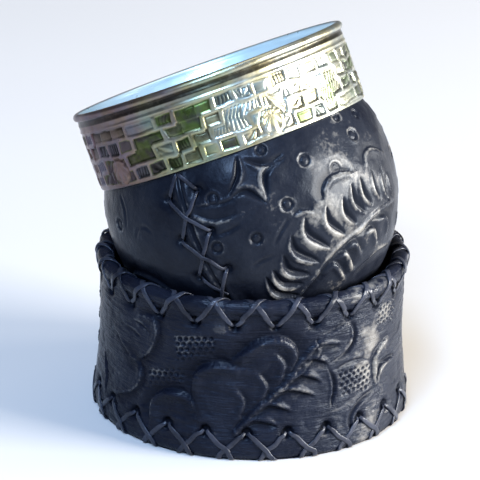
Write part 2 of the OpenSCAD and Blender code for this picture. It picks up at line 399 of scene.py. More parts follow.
LEAF_CUTS = [
    ((21.2, -10.3), (20.7, -18), (29.3, -26.6), 1.9),
    ((13.9, -14.8), (14, -23), (23.6, -31.1), 1.9),
    ((8.3, -21.4), (8.7, -29.8), (18.3, -35.3), 1.8),
    ((2.2, -25.8), (4.3, -34.6), (14, -38.2), 1.6),
    ((-1.6, -28), (0.2, -38), (11, -43.2), 1.4),
    ((31.1, -9.1), (30.8, -16.4), (37.6, -23.8), 1.8),
    ((39.4, -8.7), (39, -14.8), (43.8, -21.3), 1.6),
    ((45.1, -5.2), (45, -12.3), (50.1, -18.7), 1.6),
    ((50.6, -4), (50.8, -10.7), (54.6, -16.9), 1.6),
    ((58, -4), (58.2, -10.7), (61.4, -16.9), 1.5),
    ((65, -4.6), (65, -12.2), (68.2, -18.6), 1.5),
    ((70.4, -7), (71.8, -13.6), (75.4, -18.8), 1.4),
]
LEAF_SCALES = [
    ((23, -36), (30.6, -33.8), (37.6, -43)),
    ((29.4, -32.6), (37, -31), (43, -40.5)),
    ((35, -30.6), (42.4, -27.8), (47.6, -35)),
    ((48.6, -26.6), (55, -26), (58.6, -34)),
    ((59.6, -23), (65.6, -24), (68.4, -31)),
]


def leaf(turn):
    """The long leaf: cuts over its vein, scales under it, and the lobes behind."""
    line = turned(sphere_line, turn)
    for *knots, width in LEAF_CUTS:
        gourd.cut(line(*knots), 1.1 * width, 1.45, bevel=1, ridge=0.6, sharp=0.3, reach=2.6)
    gourd.edge(line((31, -7.4), (32.4, -2.6), (37.6, 0.2), (46.6, -1)), 1, 0.9, 2.6, 0.45)
    gourd.cut(line((37, 0.2), (42, 0.9), (47.6, -1.4)), 0.9, 1.0, bevel=1, ridge=0.1)
    gourd.edge(line((17.2, -8.8), (21, -7.6), (25.4, -9.4)), 1, 0.9, 2.2, 0.3)
    gourd.cut(line((17.6, -8.6), (21.4, -7.7), (25.6, -9.6)), 0.8, 0.9, bevel=1, ridge=0.1)
    gourd.edge(line((55, -1), (57.4, 2.6), (63, 3.8), (71, 0.6)), 1, 0.7, 2.4, 0.4)
    vein = line(
        (9, -45), (17, -39.6), (24.3, -34.3), (31.9, -29), (44.2, -26), (57.2, -21.7),
        (74, -20), count=60,
    )
    gourd.edge(vein, -1, 1.0, 1.8, 0.3, taper=0.2)
    where, d, left, share = gourd.near(vein, 3)
    rib = bell(d * left - 1.1, 0.7) * ease(np.minimum(share, 1 - share) / 0.08)
    gourd.lift(where, 0.5 * rib)
    gourd.wear_and_painted_highlight(where, 0.7 * rib)
    for knots in LEAF_SCALES:
        gourd.edge(line(*knots), 1, 1.1, 1.9, 0.7)
    gourd.edge(line((43, -42.5), (51, -39.6), (60, -37), (74, -37), count=40), -1, 0.8, 2.2, 0.4)
    gourd.groove(line((6.7, -16.1), (10, -12.8), (14.6, -9)), 0.5, 0.35, lips=0.12)
    gourd.groove(line((-4.4, -22), (-0.6, -20.8), (4.6, -20.6)), 0.5, 0.35, lips=0.12)


GOURD_DOTS = [
    (14.1, 19.2), (28.6, 9.6), (40.3, 2.4), (56, 11.4), (65.7, 18.1), (53, 20.4), (16.1, -3.6),
    (0.8, -11.8), (-10.1, 7.8), (-15, -10.3),
]
SIDE_DOTS = [
    (88, 16), (86, -2), (96, -16), (112, -6), (124, 12), (134, -4), (146, 10), (150, -14),
    (108, -26), (128, -20), (84, -28), (250, 12), (262, -4), (276, 14), (286, -12), (300, 8),
]

LEAF_TURNS = (0, 165)
STAR_TURN = 97
for turn in LEAF_TURNS:
    star(turn)
    leaf(turn)
    for lon, lat in GOURD_DOTS:
        gourd.dot(globe(lon + turn, lat), 1.4 if lat < 15 else 1.2)
star(STAR_TURN)
for lon, lat in SIDE_DOTS:
    gourd.dot(globe(lon, lat), 1.4)

# Tooling on the quiet left side, and the strokes beside the seam
gourd.groove(sphere_line((-56, 19), (-53.6, 13), (-54.4, 6.6)), 0.5, 0.28, lips=0.12)
gourd.groove(sphere_line((-49.6, 2), (-46.6, 5), (-43, 5), (-40.4, 2.4)), 0.5, 0.3, lips=0.1)
gourd.edge(sphere_line((-80, -20), (-66, -12), (-52, -16), (-44, -26)), 1, 0.6, 3, 0.3)
gourd.cut(sphere_line((-18.8, 7.4), (-12.4, 5.9), (-6.5, 5.2), (0, 5.7)), 1.1, 0.6, bevel=-1)
gourd.edge(sphere_line((-20, 4.6), (-12.6, -0.4), (-3, -1.2)), 1, 0.5, 3, 0.3)
gourd.groove(sphere_line((-14.7, -5.5), (-9, -5.6), (-3.7, -4.6)), 0.6, 0.4, lips=0.15)

# The seam: two edges drawn together, swollen most at the height of the holes
seam = globe(SEAM_LON, np.linspace(21, -56, 120))
where, d, _, share = gourd.near(seam, 9)
gourd.press(where, 0.9 * bell(d, 0.34))
pull = 0.5 + 0.5 * np.cos(
    (gourd_lat[where] - FIRST_CROSS - SEAM_PITCH / 2) / SEAM_PITCH * 2 * pi
)
gourd.lift(where, 0.55 * bell(d - 1.3, 1.0) * (0.55 + 0.45 * pull))
gourd.press(where, 0.35 * bell(d - 4.8, 1.3) * pull)
gourd.wear_and_painted_highlight(where, 0.7 * bell(d - 0.9, 0.5))
SEAM_PIT_R, SEAM_PIT_DEPTH = 1.3, 1.4
hole_lats = [FIRST_CROSS + SEAM_PITCH * (0.5 - i) for i in range(3)]
for lat in hole_lats:
    for side in (-1, 1):
        centre = globe(SEAM_LON + side * SEAM_HALF, lat)
        gourd.pit(centre, SEAM_PIT_R, SEAM_PIT_DEPTH, pucker=0.5)

turns = gourd.lon / 360
dents = 0.3 * noise(turns, gourd_lat / 17, 22, 3) + 0.12 * noise(turns, gourd_lat / 7, 52, 4)
gourd_points = gourd.surface(np.where(is_outside, dents, 0))
gourd_points = np.where(is_outside[..., None], gourd_points, gourd.base)
gourd_placed = leaned(gourd_points)

# Painted sheen, greyer leather: a patch on the gourd's right and a strip on the stand's right
SHEEN_LON, SHEEN_LAT, SHEEN_SPREAD = 35, 8, 25
STAND_SHEEN_LON, STAND_SHEEN_SPREAD = 51, 12
sheen_way = around(SHEEN_LON, cos(radians(SHEEN_LAT)), sin(radians(SHEEN_LAT)))
off_sheen = np.degrees(np.arccos(np.clip(unit(gourd_placed - BALL) @ sheen_way, -1, 1)))
gourd_leather = revolved_mesh(
    "gourd_leather",
    gourd_placed,
    {
        "wear_and_painted_light": np.where(is_outside, gourd.wear_and_painted_light, 0),
        "deep": np.where(is_outside, gourd.pressed, 0),
        "painted_sheen": np.where(is_outside, bell(off_sheen, SHEEN_SPREAD), 0),
    },
    capped=True,
)

# ---- Stand: tooled leather ring with a rolled top edge ----


def ring_out(z):
    """Outer radius of the ring between its foot and the crease under the roll."""
    z = np.asarray(z, float)
    foot = WAIST_R + (FOOT_R - WAIST_R) * ((WAIST_Z - z) / (WAIST_Z - BULGE_Z)) ** 2
    top = WAIST_R + (UNDER_R - WAIST_R) * ((z - WAIST_Z) / (UNDER_Z - WAIST_Z)) ** 2
    return np.where(z < BULGE_Z, FOOT_R, np.where(z < WAIST_Z, foot, top))


STAND_COLUMNS, STAND_STEP = 640, 0.42
roll_from = 360 - degrees(acos((WALL_IN - ROLL_C) / ROLL_R))
roll_to = -degrees(acos((UNDER_R - ROLL_C) / ROLL_R))
wall_z = np.arange(FOOT_EDGE, UNDER_Z - 0.1, STAND_STEP)
roll_steps = 25
stand_profile = np.array(
    [(WALL_IN + 2.2, 0.35), (WALL_IN + 3, 0.12)]
    + arc((FOOT_R - FOOT_EDGE, FOOT_EDGE), FOOT_EDGE, -70, -10, 5)
    + [(float(ring_out(z)), z) for z in wall_z]
    + arc((ROLL_C, ROLL_Z), ROLL_R, roll_to, roll_from, roll_steps)
    + [(WALL_IN, 40), (WALL_IN, 30), (WALL_IN, 18), (WALL_IN, 6), (WALL_IN, 0.6)]
)
outer_rows = 2 + 6 + len(wall_z) + roll_steps
stand = Skin(spread_columns(STAND_COLUMNS), stand_profile)
stand_row = np.arange(len(stand_profile))[:, None] + 0 * stand.lon
on_outside = (stand_row > 2) & (stand_row < outer_rows)


def wall_line(*knots, count=22):
    """A line on the stand through (longitude, height) knots."""
    line = curve(knots, count)
    return around(line[:, 0], ring_out(line[:, 1]), line[:, 1])


def stipple(corners, pitch=1.95, depth=0.75):
    """Rows of small pits pressed inside a four-sided patch of (longitude, height) corners."""
    scale = radians(1) * WAIST_R
    p = np.array([(lon * scale, z) for lon, z in corners])
    lon = (stand.lon - corners[0][0] + 180) % 360 - 180 + corners[0][0]
    u, v = lon * scale, stand.z
    inside = np.full(u.shape, 99.0)
    for a, b in zip(p, np.roll(p, -1, 0)):
        edge = b - a
        edge /= np.linalg.norm(edge)
        inside = np.minimum(inside, -(edge[0] * (v - a[1]) - edge[1] * (u - a[0])))
    mask = ease(inside / 0.8 + 0.3) * on_outside
    tilt = radians(10)
    s = (u * cos(tilt) + v * sin(tilt)) / pitch
    t = (v * cos(tilt) - u * sin(tilt)) / (0.8 * pitch)
    s = s + 0.5 * (np.floor(t) % 2)
    cell = ((s % 1) - 0.5) ** 2 + ((t % 1) - 0.5) ** 2
    where = np.nonzero(mask > 0)
    pit_depth = depth * ease(1.15 - 2.6 * np.sqrt(cell[where])) * mask[where]
    stand.press(where, pit_depth + 0.1 * mask[where])
    bump = bell(np.sqrt(cell[where]) - 0.55, 0.14) * mask[where]
    stand.lift(where, 0.12 * bump)
    stand.wear_and_painted_highlight(where, 0.75 * bump)


STEM = [(-4.8, 8.6), (4.1, 16.4), (12, 22), (18.6, 27.2), (26, 32.4)]
LEAFLETS = [
    ((-4.4, 9.2), (2.6, 11.6), (10.6, 10.6)),
    ((-0.6, 12.6), (6.4, 16.2), (15.6, 14.6)),
    ((4.8, 17), (13.6, 20.6), (25, 18.4)),
    ((11.4, 21.6), (18.6, 24.8), (27.4, 22.4)),
    ((15.7, 25.4), (22, 29.4), (30.6, 27.4)),
    ((19, 28.6), (26.4, 33), (35.4, 33)),
]
PATCHES = [
    ((34.2, 25), (51.2, 23.8), (52.6, 15.8), (35.6, 16.8)),
    ((56, 40.4), (70, 40), (66, 33.4), (54, 34.4)),
    ((-29.4, 36.2), (-13, 37.6), (-12.6, 30), (-28, 28.2)),
    ((-41, 23.4), (-24.4, 26.4), (-24.4, 20.4), (-40.6, 17)),
]


def scroll(turn):
    """One tooled spray: lobes on the left, a leafy stem rising to the right, stippled patches."""
    line = turned(wall_line, turn)
    lobe_a = line((-19.6, 12.6), (-21.8, 18), (-21, 24.4), (-16.8, 28), (-10, 29.2), (-3.6, 28.4),
                  count=40)
    stand.edge(lobe_a, 1, 1.4, 3.4, 1.1, taper=0.25, soft=1.4)
    stand.cut(line((-17.6, 27.6), (-10.4, 29.2), (-3.4, 28.3)), 1.1, 1.0, bevel=1, ridge=0.35)
    lobe_b = line((-38.6, 8.6), (-38.4, 13.6), (-34.6, 17.2), (-29, 18.6), (-22.4, 17.6),
                  (-20, 13), count=40)
    stand.edge(lobe_b, 1, 1.4, 3.0, 1.1, taper=0.25, soft=1.3)
    stand.cut(line((-34, 17.2), (-27.6, 18.9), (-20.8, 17.4)), 1.0, 0.9, bevel=1, ridge=0.35)
    lobe_c = line((-7.6, 29.6), (-3, 33), (2, 36.4), (8.9, 37.7), (15.2, 35.6), (17.4, 31.6),
                  (15.8, 28.6), count=44)
    stand.edge(lobe_c, 1, 1.4, 3.2, 1.1, taper=0.25, soft=1.4)
    stand.cut(line((-7.4, 29.8), (-1, 34.4), (6.4, 37.4), (12, 36.8)), 1.1, 1.0, bevel=1, ridge=0.3)
    stand.edge(line((9.6, 32.4), (12.8, 29), (11.2, 23.6)), 1, 0.8, 2.2, 0.45)
    stand.edge(line((3, 26.6), (6.4, 22.4), (4.2, 17.4)), 1, 0.8, 2.2, 0.45)
    stand.edge(line((-5, 22), (-2, 18), (-3.6, 13)), 1, 0.6, 2.0, 0.3)

    stem = line(*STEM, count=70)
    where, d, _, share = stand.near(stem, 3)
    beads = 0.5 + 0.5 * np.cos(share * 2 * pi * 17)
    stand.lift(where, 0.85 * bell(d, 0.9) * (0.6 + 0.4 * beads))
    stand.press(where, 0.55 * bell(d - 1.35, 0.4) * ease(share / 0.05))
    stand.wear_and_painted_highlight(where, 0.8 * bell(d, 0.5) * beads)
    for knots in LEAFLETS:
        stand.cut(line(*knots), 2.0, 1.45, bevel=-1, ridge=0.9, sharp=0.3, reach=2.0)

    right_lobe = line((38, 40), (41.2, 37), (41.4, 33), (37.6, 29.9), (30.6, 28), count=34)
    stand.cut(right_lobe, 1.5, 1.1, bevel=1, ridge=0.3, sharp=0.4)
    stand.cut(line((29.6, 26.6), (32.4, 21), (30.8, 14.2)), 1.3, 1.1, bevel=1, ridge=0.35)
    stand.edge(line((27.6, 36.8), (31.6, 37.4), (36.4, 38.6), (38.6, 40)), 1, 0.6, 1.6, 0.4)
    stand.cut(line((24.8, 36.8), (25.2, 34.6), (28, 33.6)), 0.7, 0.6, bevel=1, ridge=0.2)
    stand.groove(line((52.4, 15.4), (44, 13.2), (39.4, 9.4), (40.2, 5.6)), 0.75, 0.95, lips=0.25)
    stand.edge(line((53.4, 15.6), (53, 24), (57, 27.2), (63, 29)), 1, 0.75, 2.4, 0.45)
    stand.cut(line((68.4, 21.8), (57.4, 21.2), (54, 14.8)), 1.4, 1.0, bevel=-1, ridge=0.45)
    stand.groove(line((33, 25.4), (42, 26.6), (52, 24.4)), 0.5, 0.5, lips=0.15)
    for corners in PATCHES:
        stipple([(a + turn, b) for a, b in corners])

    left_lobe = line((-60, 29.4), (-49, 24.2), (-41, 27.6), (-37, 33.6), (-38.4, 39), (-46, 38.8),
                     count=40)
    stand.edge(left_lobe, -1, 0.85, 2.8, 0.45, taper=0.25)
    stand.cut(line((-50.6, 36.4), (-44, 36), (-38.9, 33.6)), 0.8, 0.6, bevel=-1, ridge=0.35)
    stand.cut(line((-54, 33.6), (-48.6, 33.2), (-43.4, 31.2)), 0.8, 0.6, bevel=-1, ridge=0.35)
    low_lobe = line((-56.4, 24.6), (-47.4, 24.2), (-44.2, 19.8), (-48.6, 14.2), (-62.4, 9.4),
                    count=34)
    stand.edge(low_lobe, 1, 0.8, 2.6, 0.45, taper=0.25)
    stand.cut(line((-72, 20), (-68, 15), (-66.6, 8)), 1.2, 0.8, bevel=1, ridge=0.3)


def sprig(turn):
    """A small upright fan that fills the ring between two sprays."""
    line = turned(wall_line, turn)
    stand.cut(line((0, 12), (1.4, 24), (0, 37)), 1.3, 1.0, bevel=1, ridge=0.35)
    for side in (-1, 1):
        for k in range(3):
            z = 14 + 7 * k
            stand.cut(
                line((2.4 * side, z), (8 * side, z + 3.6), (11.6 * side, z + 8.6)),
                1.4, 0.95, bevel=-side, ridge=0.4, sharp=0.3,
            )


SCROLL_TURNS, SPRIG_TURNS = (0, 180), (105, 262)
for turn in SCROLL_TURNS:
    scroll(turn)
for turn in SPRIG_TURNS:
    sprig(turn)

STAND_PIT_R, STAND_PIT_DEPTH = 1.6, 2.2
for k in range(STITCHES):
    for phase, z in ((TOP_PHASE, TOP_HOLE_Z), (FOOT_PHASE, LOW_HOLE_Z)):
        centre = around(phase + 90 + k * PITCH, ring_out(z), z)
        stand.pit(centre, STAND_PIT_R, STAND_PIT_DEPTH, pucker=0.5)

# Fine wavy creases that run round the ring, and the pull of the laces on the roll
turns = stand.lon / 360
wave = 0.9 * noise(turns, stand.z / 9, 30, 21)
creases = 1 - np.abs(noise(turns, stand.z / 2.1 + wave, 26, 22))
small = 1 - np.abs(noise(turns, stand.z / 1.15 + wave, 60, 23))
stand_ground = -0.24 * creases**5 - 0.12 * small**4
stand_ground += 0.16 * noise(turns, stand.z / 12, 16, 24) + 0.06 * noise(turns, stand.z / 4, 70, 25)
stand_worn = 0.25 * ease(1.4 - 2 * creases) * on_outside
on_roll = ease((stand.z - UNDER_Z) / 1.5)
cross_pull = 0.5 + 0.5 * np.cos((stand.lon - TOP_PHASE - 90 - PITCH / 2) / PITCH * 2 * pi)
stand_ground -= on_roll * 0.1 * cross_pull**3
stand_ground += on_roll * 0.16 * noise(turns, stand.z / 1.9, 75, 26)
stand_ground = stand_ground * on_outside
stand_points = np.where(on_outside[..., None], stand.surface(stand_ground), stand.base)
stand_leather = revolved_mesh(
    "stand_leather",
    on_stand(stand_points),
    {
        "wear_and_painted_light": np.where(on_outside, np.maximum(stand.wear_and_painted_light, stand_worn), 0),
        "deep": np.where(on_outside, stand.pressed, 0),
        # The stand's painted sheen: a greyer strip on its right.
        "painted_sheen": np.where(on_outside, 0.8 * bell(stand.lon - STAND_SHEEN_LON, STAND_SHEEN_SPREAD), 0),
    },
    loop=True,
)

# ---- Lacing ----

LACE_W, LACE_T = 1.5, 0.45
LACE_LIFT, CROSS_LIFT = 0.05, 0.34
FOOT_CROSS_Z, STRAND_POINTS = 3.4, 44


def top_route(over):
    """Stations of a strand over the roll: radius, height, share of the pitch, lean of its face."""
    stations = [
        (ring_out(TOP_HOLE_Z) - 0.7, TOP_HOLE_Z, 0.0, 0),
        (ring_out(TOP_HOLE_Z) + LACE_LIFT - 0.1, TOP_HOLE_Z + 0.7, 0.06, 0),
        (ring_out(43) + LACE_LIFT, 43.0, 0.15, 0),
        (STAND_R - 0.3, UNDER_Z + 0.4, 0.22, 0),
    ]
    lifts, shares = [0.85, 1, 0.85, 0, 0], [0.36, 0.5, 0.64, 0.76, 0.86]
    for i in range(5):
        turn = 10 + 40 * i
        off = ROLL_R + LACE_LIFT + over * lifts[i]
        a = radians(turn)
        stations.append((ROLL_C + off * cos(a), ROLL_Z + off * sin(a), shares[i], turn))
    return stations + [
        (RING_IN - LACE_LIFT, ROLL_Z - ROLL_R - 1.5, 0.95, 180),
        (RING_IN - LACE_LIFT + 0.3, TOP_HOLE_Z + 0.6, 0.99, 180),
        (RING_IN + 0.4, TOP_HOLE_Z, 1.0, 180),
    ]


def foot_route(over):
    """Stations of a strand under the foot, in the same terms."""
    out = FOOT_R + LACE_LIFT
    return [
        (ring_out(LOW_HOLE_Z) - 0.7, LOW_HOLE_Z, 0.0, 0),
        (ring_out(LOW_HOLE_Z) + LACE_LIFT, LOW_HOLE_Z - 0.7, 0.06, 0),
        (ring_out(7) + LACE_LIFT, 7.0, 0.16, 0),
        (out + 0.6 * over, BULGE_Z - 1, 0.33, 0),
        (out + 0.9 * over, FOOT_CROSS_Z, 0.5, 0),
        (out + 0.5 * over, FOOT_EDGE, 0.6, -10),
        (FOOT_R - 0.5, 0.29, 0.67, -75),
        (RING_IN + 1.0, 0.27, 0.67, -105),
        (RING_IN - LACE_LIFT, 2.4, 0.74, -180),
        (RING_IN - LACE_LIFT, 6, 0.92, -180),
        (RING_IN - LACE_LIFT + 0.3, LOW_HOLE_Z - 0.6, 0.99, -180),
        (RING_IN + 0.4, LOW_HOLE_Z, 1.0, -180),
    ]


def stitch(route, phase, hand, k, rng):
    """One strand: its smooth line, the way its face looks, and its width along the way."""
    stations = np.array(route)
    share = stations[:, 2]
    side = hand * 0.45 * (1 - 2 * share) * np.degrees(1 / stations[:, 0])
    wobble = rng.normal(0, 0.35, len(share)) * np.sin(pi * share) ** 0.5
    lon = phase + 90 + hand * PITCH * (k + share) + side + wobble
    rise = rng.normal(0, 0.05, len(share)) * (share > 0.2) * (share < 0.8)
    knots = np.column_stack([lon, stations[:, 0] + rise, stations[:, 1], stations[:, 3]])
    fine = curve(knots, STRAND_POINTS)
    line = around(fine[:, 0], fine[:, 1], fine[:, 2])
    tilt = np.radians(fine[:, 3])
    normal = around(fine[:, 0], np.cos(tilt), np.sin(tilt))
    run = np.linspace(0, 1, STRAND_POINTS)
    size = 0.62 + 0.38 * ease(run / 0.25) + rng.uniform(-0.04, 0.04)
    size *= 0.75 + 0.25 * ease((1 - run) / 0.2)
    return on_stand(line), normal, size


def laced_edge(name, route, phase, seed):
    rng = np.random.default_rng(seed)
    lines = []
    for hand, over in ((1, CROSS_LIFT), (-1, 0.0)):
        for k in range(STITCHES):
            lines.append(stitch(route(over), phase, hand, k, rng))
    return strip_mesh(name, lines, LACE_W, LACE_T)


top_lace = laced_edge("stand_top_lacing", top_route, TOP_PHASE, 31)
foot_lace = laced_edge("stand_foot_lacing", foot_route, FOOT_PHASE, 32)


SEAM_POINTS = 30


def sphere_strip(knots, rng):
    """A strip on the gourd through (longitude, latitude, lift) knots, its ends thinner."""
    knots = np.array(knots, float)
    knots[1:-1] += rng.normal(0, 1, (len(knots) - 2, 3)) * (0.35, 0.35, 0.08)
    fine = curve(knots, SEAM_POINTS)
    line = globe(fine[:, 0], fine[:, 1], 1.0) * (BALL_R + fine[:, 2])[:, None]
    normal = unit(line)
    run = np.linspace(0, 1, SEAM_POINTS)
    size = 0.7 + 0.3 * np.sin(pi * run) ** 0.5 + rng.uniform(-0.05, 0.05)
    return leaned(line), normal @ LEAN_TURN.T, size


SEAM_LACE_W, SEAM_LACE_T = 1.05, 0.45
IN_HOLE, AT_HOLE, SEAM_OVER = -1.2, 0.25, 0.5


def seam_lacing():
    """The crosses between the holes, then the arms that run under the band and into the stand."""
    rng = np.random.default_rng(33)
    lines = []
    for a, b in zip(hole_lats[:-1], hole_lats[1:]):
        middle = (a + b) / 2
        for side in (-1, 1):
            over = SEAM_OVER if side > 0 else 0.0
            lon0, lon1 = SEAM_LON - side * SEAM_HALF, SEAM_LON + side * SEAM_HALF
            knots = [
                (lon0 + 0.4 * side, a - 0.3, IN_HOLE),
                (lon0 + 1.5 * side, a - 1.6, AT_HOLE),
                (SEAM_LON - 2 * side, middle + 2.4, 0.75 + 0.7 * over),
                (SEAM_LON, middle, 0.85 + over),
                (SEAM_LON + 2 * side, middle - 2.4, 0.75 + 0.7 * over),
                (lon1 - 1.5 * side, b + 1.6, AT_HOLE),
                (lon1 - 0.4 * side, b + 0.3, IN_HOLE),
            ]
            lines.append(sphere_strip(knots, rng))
    for side in (-1, 1):
        over = SEAM_OVER if side > 0 else 0.0
        lon0 = SEAM_LON + side * SEAM_HALF
        for hole, way, bend, end in (
            (hole_lats[0], 1, (2.2, 18.6), (0.6, 20.3)),
            (hole_lats[-1], -1, (2.6, -25), (-1.6, -30)),
        ):
            knots = [
                (lon0 - 0.4 * side, hole + 0.3 * way, IN_HOLE),
                (lon0 - 1.5 * side, hole + 1.6 * way, AT_HOLE),
                (SEAM_LON + bend[0] * side, bend[1], 0.7 + over),
                (SEAM_LON + end[0] * side, end[1], 0.6 + over),
            ]
            lines.append(sphere_strip(knots, rng))
    return strip_mesh("gourd_seam_lacing", lines, SEAM_LACE_W, SEAM_LACE_T)


seam_lace = seam_lacing()

# ---- Rim: engraved metal band rolled over the lip ----

BEAD_C = BAND_R + 0.85 - BEAD_R
BEAD_Z = LIP_Z - BEAD_R
BAND_IN = BAND_R - BAND_T
ZONE_LOW, ZONE_HIGH = 16.7, 33.3
RIM_COLUMNS, RIM_STEP = 820, 0.33
FLARE_Z = LIP_Z - 9
band_side = [(BAND_R - 0.15, BAND_LOW + 0.02), (BAND_R, BAND_LOW + 0.2)]
band_side += [(BAND_R, z) for z in np.arange(BAND_LOW + 0.5, 36.0, RIM_STEP)]
cove = [(BAND_R, 36.2), (BAND_R - 0.05, 36.7), (BAND_R - 0.02, 37.0), (BAND_R + 0.12, 37.25)]
bead = arc((BEAD_C, BEAD_Z), BEAD_R, -42, 165, 18)
sleeve = [
    (BEAD_C - 1.15, BEAD_Z - 0.2), (BEAD_C - 1.3, BEAD_Z - 0.7), (BEAD_C - 1.75, BEAD_Z - 1.6),
    (BEAD_C - 2.6, BEAD_Z - 3.4), (BEAD_C - 3.45, BEAD_Z - 5.2), (SLEEVE_R + 0.4, FLARE_Z + 1.4),
    (SLEEVE_R + 0.08, FLARE_Z + 0.5), (SLEEVE_R, FLARE_Z - 0.6), (SLEEVE_R, 27), (SLEEVE_R, 24.6),
    (SLEEVE_R, SLEEVE_LOW + 0.2), (SLEEVE_R + 0.2, SLEEVE_LOW), (SLEEVE_R + 0.6, SLEEVE_LOW),
    (SLEEVE_R + 0.8, SLEEVE_LOW + 0.2), (SLEEVE_R + 0.8, 25), (SLEEVE_R + 0.8, FLARE_Z),
    (BEAD_C - 2.6, BEAD_Z - 5.2), (BEAD_C - 1.2, BEAD_Z - 2.1),
    (BAND_IN, BEAD_Z - 1.8), (BAND_IN, 30), (BAND_IN, 22), (BAND_IN, BAND_LOW + 0.2),
    (BAND_IN + 0.15, BAND_LOW + 0.02),
]
rim_profile = np.array(band_side + cove + bead + sleeve)
rim = Skin(spread_columns(RIM_COLUMNS, 0.15), rim_profile)
rim_row = np.arange(len(rim_profile))[:, None] + 0 * rim.lon
band_rows = (rim_row > 1) & (rim_row < len(band_side))


JOIN_BESIDE, JOIN_BELOW, LARGEST_STEP = 0.3, 0.5, 4


def clusters(rows, cols, rng):
    """Joins neighbouring cells of the engraving into steps. Returns the id of each cell's step."""
    ids = np.arange(rows * cols).reshape(rows, cols)
    size = {int(k): 1 for k in ids.ravel()}
    for row in range(rows):
        for col in range(cols):
            beside, under = (row, (col + 1) % cols), (row + 1, col)
            for (r2, c2), odds in ((beside, JOIN_BESIDE), (under, JOIN_BELOW)):
                if r2 >= rows or rng.random() > odds:
                    continue
                a, b = int(ids[row, col]), int(ids[r2, c2])
                if a != b and size[a] + size[b] <= LARGEST_STEP:
                    ids[ids == b] = a
                    size[a] += size.pop(b)
    return ids


ENGRAVED_ROWS, ENGRAVED_COLS = 4, 44
ROSETTES, ROSETTE_LON, ROSETTE_Z, ROSETTE_R = 5, 22.6, 20.6, 4.1


def engraved():
    """Engraving: stepped paths round sunk cells, and rosettes. Returns its height and tint."""
    rng = np.random.default_rng(45)
    rows, cols = ENGRAVED_ROWS, ENGRAVED_COLS
    ids = clusters(rows, cols, rng)
    count = rows * cols
    tall = (ZONE_HIGH - ZONE_LOW) / rows
    wide = 360 / cols
    across = wide * radians(1) * BAND_R
    turns = rim.lon / 360
    lon = rim.lon + 1.1 * noise(turns, rim.z / 5, 60, 41)
    z = rim.z + 0.45 * noise(turns, rim.z / 6, 70, 42)
    down = (ZONE_HIGH - z) / tall
    row = np.clip(np.floor(down), 0, rows - 1).astype(int)

    def cell_of(r):
        """Position along row r, in cells: each row is set on by three quarters of a cell."""
        return (lon - 10.2) / wide + 0.75 * r

    place = cell_of(row)
    col = np.floor(place).astype(int)
    fu = (place - col - 0.5) * across
    fv = (row + 0.5 - down) * tall
    here = ids[row, col % cols]
    far = np.full(here.shape, 9.0)
    left = np.where(ids[row, (col - 1) % cols] != here, fu + across / 2, far)
    right = np.where(ids[row, (col + 1) % cols] != here, across / 2 - fu, far)
    above_row, below_row = np.maximum(row - 1, 0), np.minimum(row + 1, rows - 1)
    above = ids[above_row, np.floor(cell_of(row - 1)).astype(int) % cols]
    below = ids[below_row, np.floor(cell_of(row + 1)).astype(int) % cols]
    over = np.where((above != here) | (row == 0), tall / 2 - fv, far)
    under = np.where((below != here) | (row == rows - 1), fv + tall / 2, far)
    to_edge = np.minimum.reduce([left, right, over, under])
    kind = rng.choice(4, count, p=[0.5, 0.22, 0.18, 0.1])[here]
    level = rng.uniform(-0.34, 0.14, count)[here]
    tint = rng.uniform(0, 1, count)[here]
    tilt_u, tilt_v = rng.normal(0, 0.05, (2, count))
    height = level + tilt_u[here] * fu + tilt_v[here] * fv
    angle = rng.uniform(-0.3, 0.3, count)[here]
    hatch = np.sin((fu * np.cos(angle) + fv * np.sin(angle)) * 2 * pi / 1.05)
    corner_u, corner_v = rng.uniform(-1, 1, (2, count))
    ray = np.arctan2(fv - 2.8 * corner_v[here], fu - 3.4 * corner_u[here])
    rough = noise(turns, rim.z / 0.9, 270, 43)
    inner = ease((to_edge - 0.7) / 0.4)
    height += inner * np.where(kind == 1, 0.11 * hatch - 0.1, 0)
    height += inner * np.where(kind == 2, 0.13 * np.sin(ray * 10) - 0.1, 0)
    height += inner * np.where(kind == 3, 0.14 * rough - 0.2, 0)
    path = 1 - ease((to_edge - 0.42) / 0.35)
    height = height * (1 - path) + path * (0.12 + 0.12 * noise(turns, rim.z / 4, 80, 48))
    height -= 0.16 * bell(to_edge - 0.85, 0.2)
    tint = tint * (1 - path) + 0.62 * path
    for k in range(ROSETTES):
        centre_lon = ROSETTE_LON + 360 / ROSETTES * k
        du = ((rim.lon - centre_lon + 180) % 360 - 180) * radians(1) * BAND_R
        dv = rim.z - ROSETTE_Z
        d = np.hypot(du, dv) + 0.4 * noise(turns, rim.z / 3, 90, 47)
        spokes = np.sin(np.arctan2(dv - 2.2, du) * 11)
        disc = 0.1 * spokes * ease((d - 0.4) / 1.5) + 0.2 - 0.05 * d
        disc += 0.12 * bell(d - 3.1, 0.5) - 0.35 * bell(d - 3.8, 0.35)
        blend = ease((ROSETTE_R - d) / 0.3)
        height = height * (1 - blend) + disc * blend
        tint = tint * (1 - blend) + 0.56 * blend
    mask = ease((z - ZONE_LOW) / 0.5) * ease((ZONE_HIGH - z) / 0.5)
    return height * mask * band_rows, tint * mask + 0.6 * (1 - mask)


LINE_Z = 33.75
rim_height, rim_tint = engraved()
rim_height += band_rows * 0.3 * bell(rim.z - LINE_Z, 0.3)
rim_height -= band_rows * 0.12 * bell(rim.z - LINE_Z + 0.75, 0.3)
rim_height += band_rows * 0.06 * noise(rim.lon / 360, rim.z / 9, 30, 44)
rim_height += band_rows * 0.09 * bell(rim.z - 35.6, 0.45)
